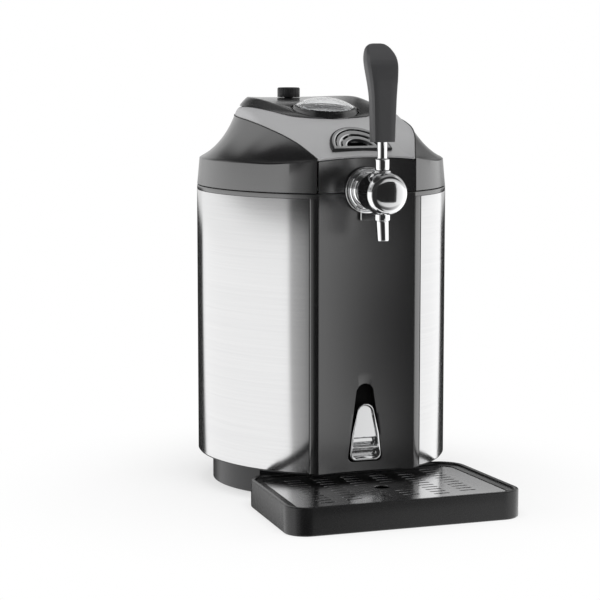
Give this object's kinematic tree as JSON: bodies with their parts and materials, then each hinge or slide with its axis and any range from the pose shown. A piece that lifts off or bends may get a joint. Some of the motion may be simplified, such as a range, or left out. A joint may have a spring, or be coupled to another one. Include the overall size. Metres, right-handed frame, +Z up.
{
  "type": "mini keg beer dispenser",
  "caption": "Round steel-sided cooler for a small beer keg, with a hinged black and silver lid, a chrome front tap with a tall black handle, a bottle opener and a separate drip tray.",
  "frame": {"origin": "on the floor under the axis of the keg well, at the face of the middle foot", "axes": "+Z up, -Y to the front where the tap is, +X to the right seen from the front"},
  "size_m": [0.2638, 0.3943, 0.4729],
  "materials": {
    "gloss_black": "gloss moulded plastic",
    "satin_black": "satin moulded plastic",
    "silver_plastic": "matte silver-grey paint",
    "brushed_steel": "horizontally brushed stainless steel",
    "polished_steel": "polished stainless sheet",
    "chrome": "bright chrome plate",
    "handle_black": "soft satin plastic",
    "lens": "clear moulded lens",
    "display": "dark gloss display",
    "rubber": "black rubber",
    "aluminium": "spun aluminium",
    "foam": "rigid foam",
    "board": "circuit board",
    "white_plastic": "white moulded liner",
    "zinc_steel": "zinc plated steel",
    "brass": "turned brass"
  },
  "bodies": {
    "body": {"feet": "rubber", "base_plinth": "satin_black", "base_cover": "satin_black", "power_board": "board", "transformer": "zinc_steel", "body_floor": "satin_black", "body_frame": "satin_black", "steel_panel_left": "brushed_steel", "steel_panel_right": "brushed_steel", "front_panel": "satin_black", "bottle_opener": "chrome", "top_deck": "satin_black", "cooling_well": "aluminium", "insulation": "foam", "cold_block": "aluminium", "peltier_module": "white_plastic", "heat_sink": "aluminium", "fan_frame": "satin_black", "rear_panel": "satin_black", "power_inlet": "satin_black", "body_screws": "zinc_steel", "hinge_bracket": "satin_black", "hinge_pin": "zinc_steel", "latch_striker": "zinc_steel", "tap_flange": "chrome", "flange_tab": "chrome", "tap_shank": "chrome", "tap_locknut": "chrome", "tap_gasket": "rubber", "tap_body": "chrome", "tap_cap": "chrome", "spout_collar": "chrome", "spout": "chrome"},
    "fan": {"fan_rotor": "satin_black"},
    "switch": {"power_switch": "gloss_black"},
    "lever": {"lever_stem": "chrome", "tap_handle": "handle_black"},
    "lid": {"lid_shell": "gloss_black", "lid_front": "gloss_black", "lid_saddle": "silver_plastic", "lid_island": "gloss_black", "dome_bezel": "gloss_black", "dome_lens": "lens", "display_face": "display", "display_board": "board", "regulator_body": "brass", "co2_cartridge": "zinc_steel", "co2_holder": "satin_black", "latch_frame": "chrome", "latch_cup": "satin_black", "latch_pin": "zinc_steel", "lid_liner": "white_plastic", "lid_gasket": "rubber", "lid_hinge_leaf": "satin_black"},
    "knob": {"regulator_knob": "handle_black"},
    "latch": {"latch_lever": "chrome"},
    "tray": {"drip_tray": "satin_black"},
    "grille": {"drip_grille": "polished_steel"}
  },
  "joints": [
    {"name": "lid_hinge", "type": "hinge", "parent": "body", "child": "lid", "pos_m": [0, 0.13, 0.323], "axis": [-1, 0, 0], "range_deg": [0, 75]},
    {"name": "tap_lever", "type": "hinge", "parent": "body", "child": "lever", "pos_m": [0, -0.18, 0.35], "axis": [1, 0, 0], "range_deg": [0, 30]},
    {"name": "latch_pull", "type": "hinge", "parent": "lid", "child": "latch", "pos_m": [0, -0.10102, 0.37153], "axis": [-1, 0, 0], "range_deg": [0, 10], "stiffness_Nm_per_rad": 0.3, "springref_deg": -8.59},
    {"name": "regulator_turn", "type": "hinge", "parent": "lid", "child": "knob", "pos_m": [0, 0.099, 0.411], "axis": [0, 0, -1], "range_deg": [0, 270]},
    {"name": "fan_spin", "type": "hinge", "parent": "body", "child": "fan", "pos_m": [0, 0.116, 0.11], "axis": [0, 1, 0], "continuous": true},
    {"name": "switch_rocker", "type": "hinge", "parent": "body", "child": "switch", "pos_m": [0.02, 0.1235, 0.061], "axis": [1, 0, 0], "range_deg": [0, 9]},
    {"name": "tray_slide", "type": "slide", "parent": "body", "child": "tray", "axis": [0, -1, 0], "range_m": [0, 0.16]},
    {"name": "grille_lift", "type": "hinge", "parent": "tray", "child": "grille", "pos_m": [0, -0.11, 0.02445], "axis": [-1, 0, 0], "range_deg": [0, 11]}
  ]
}
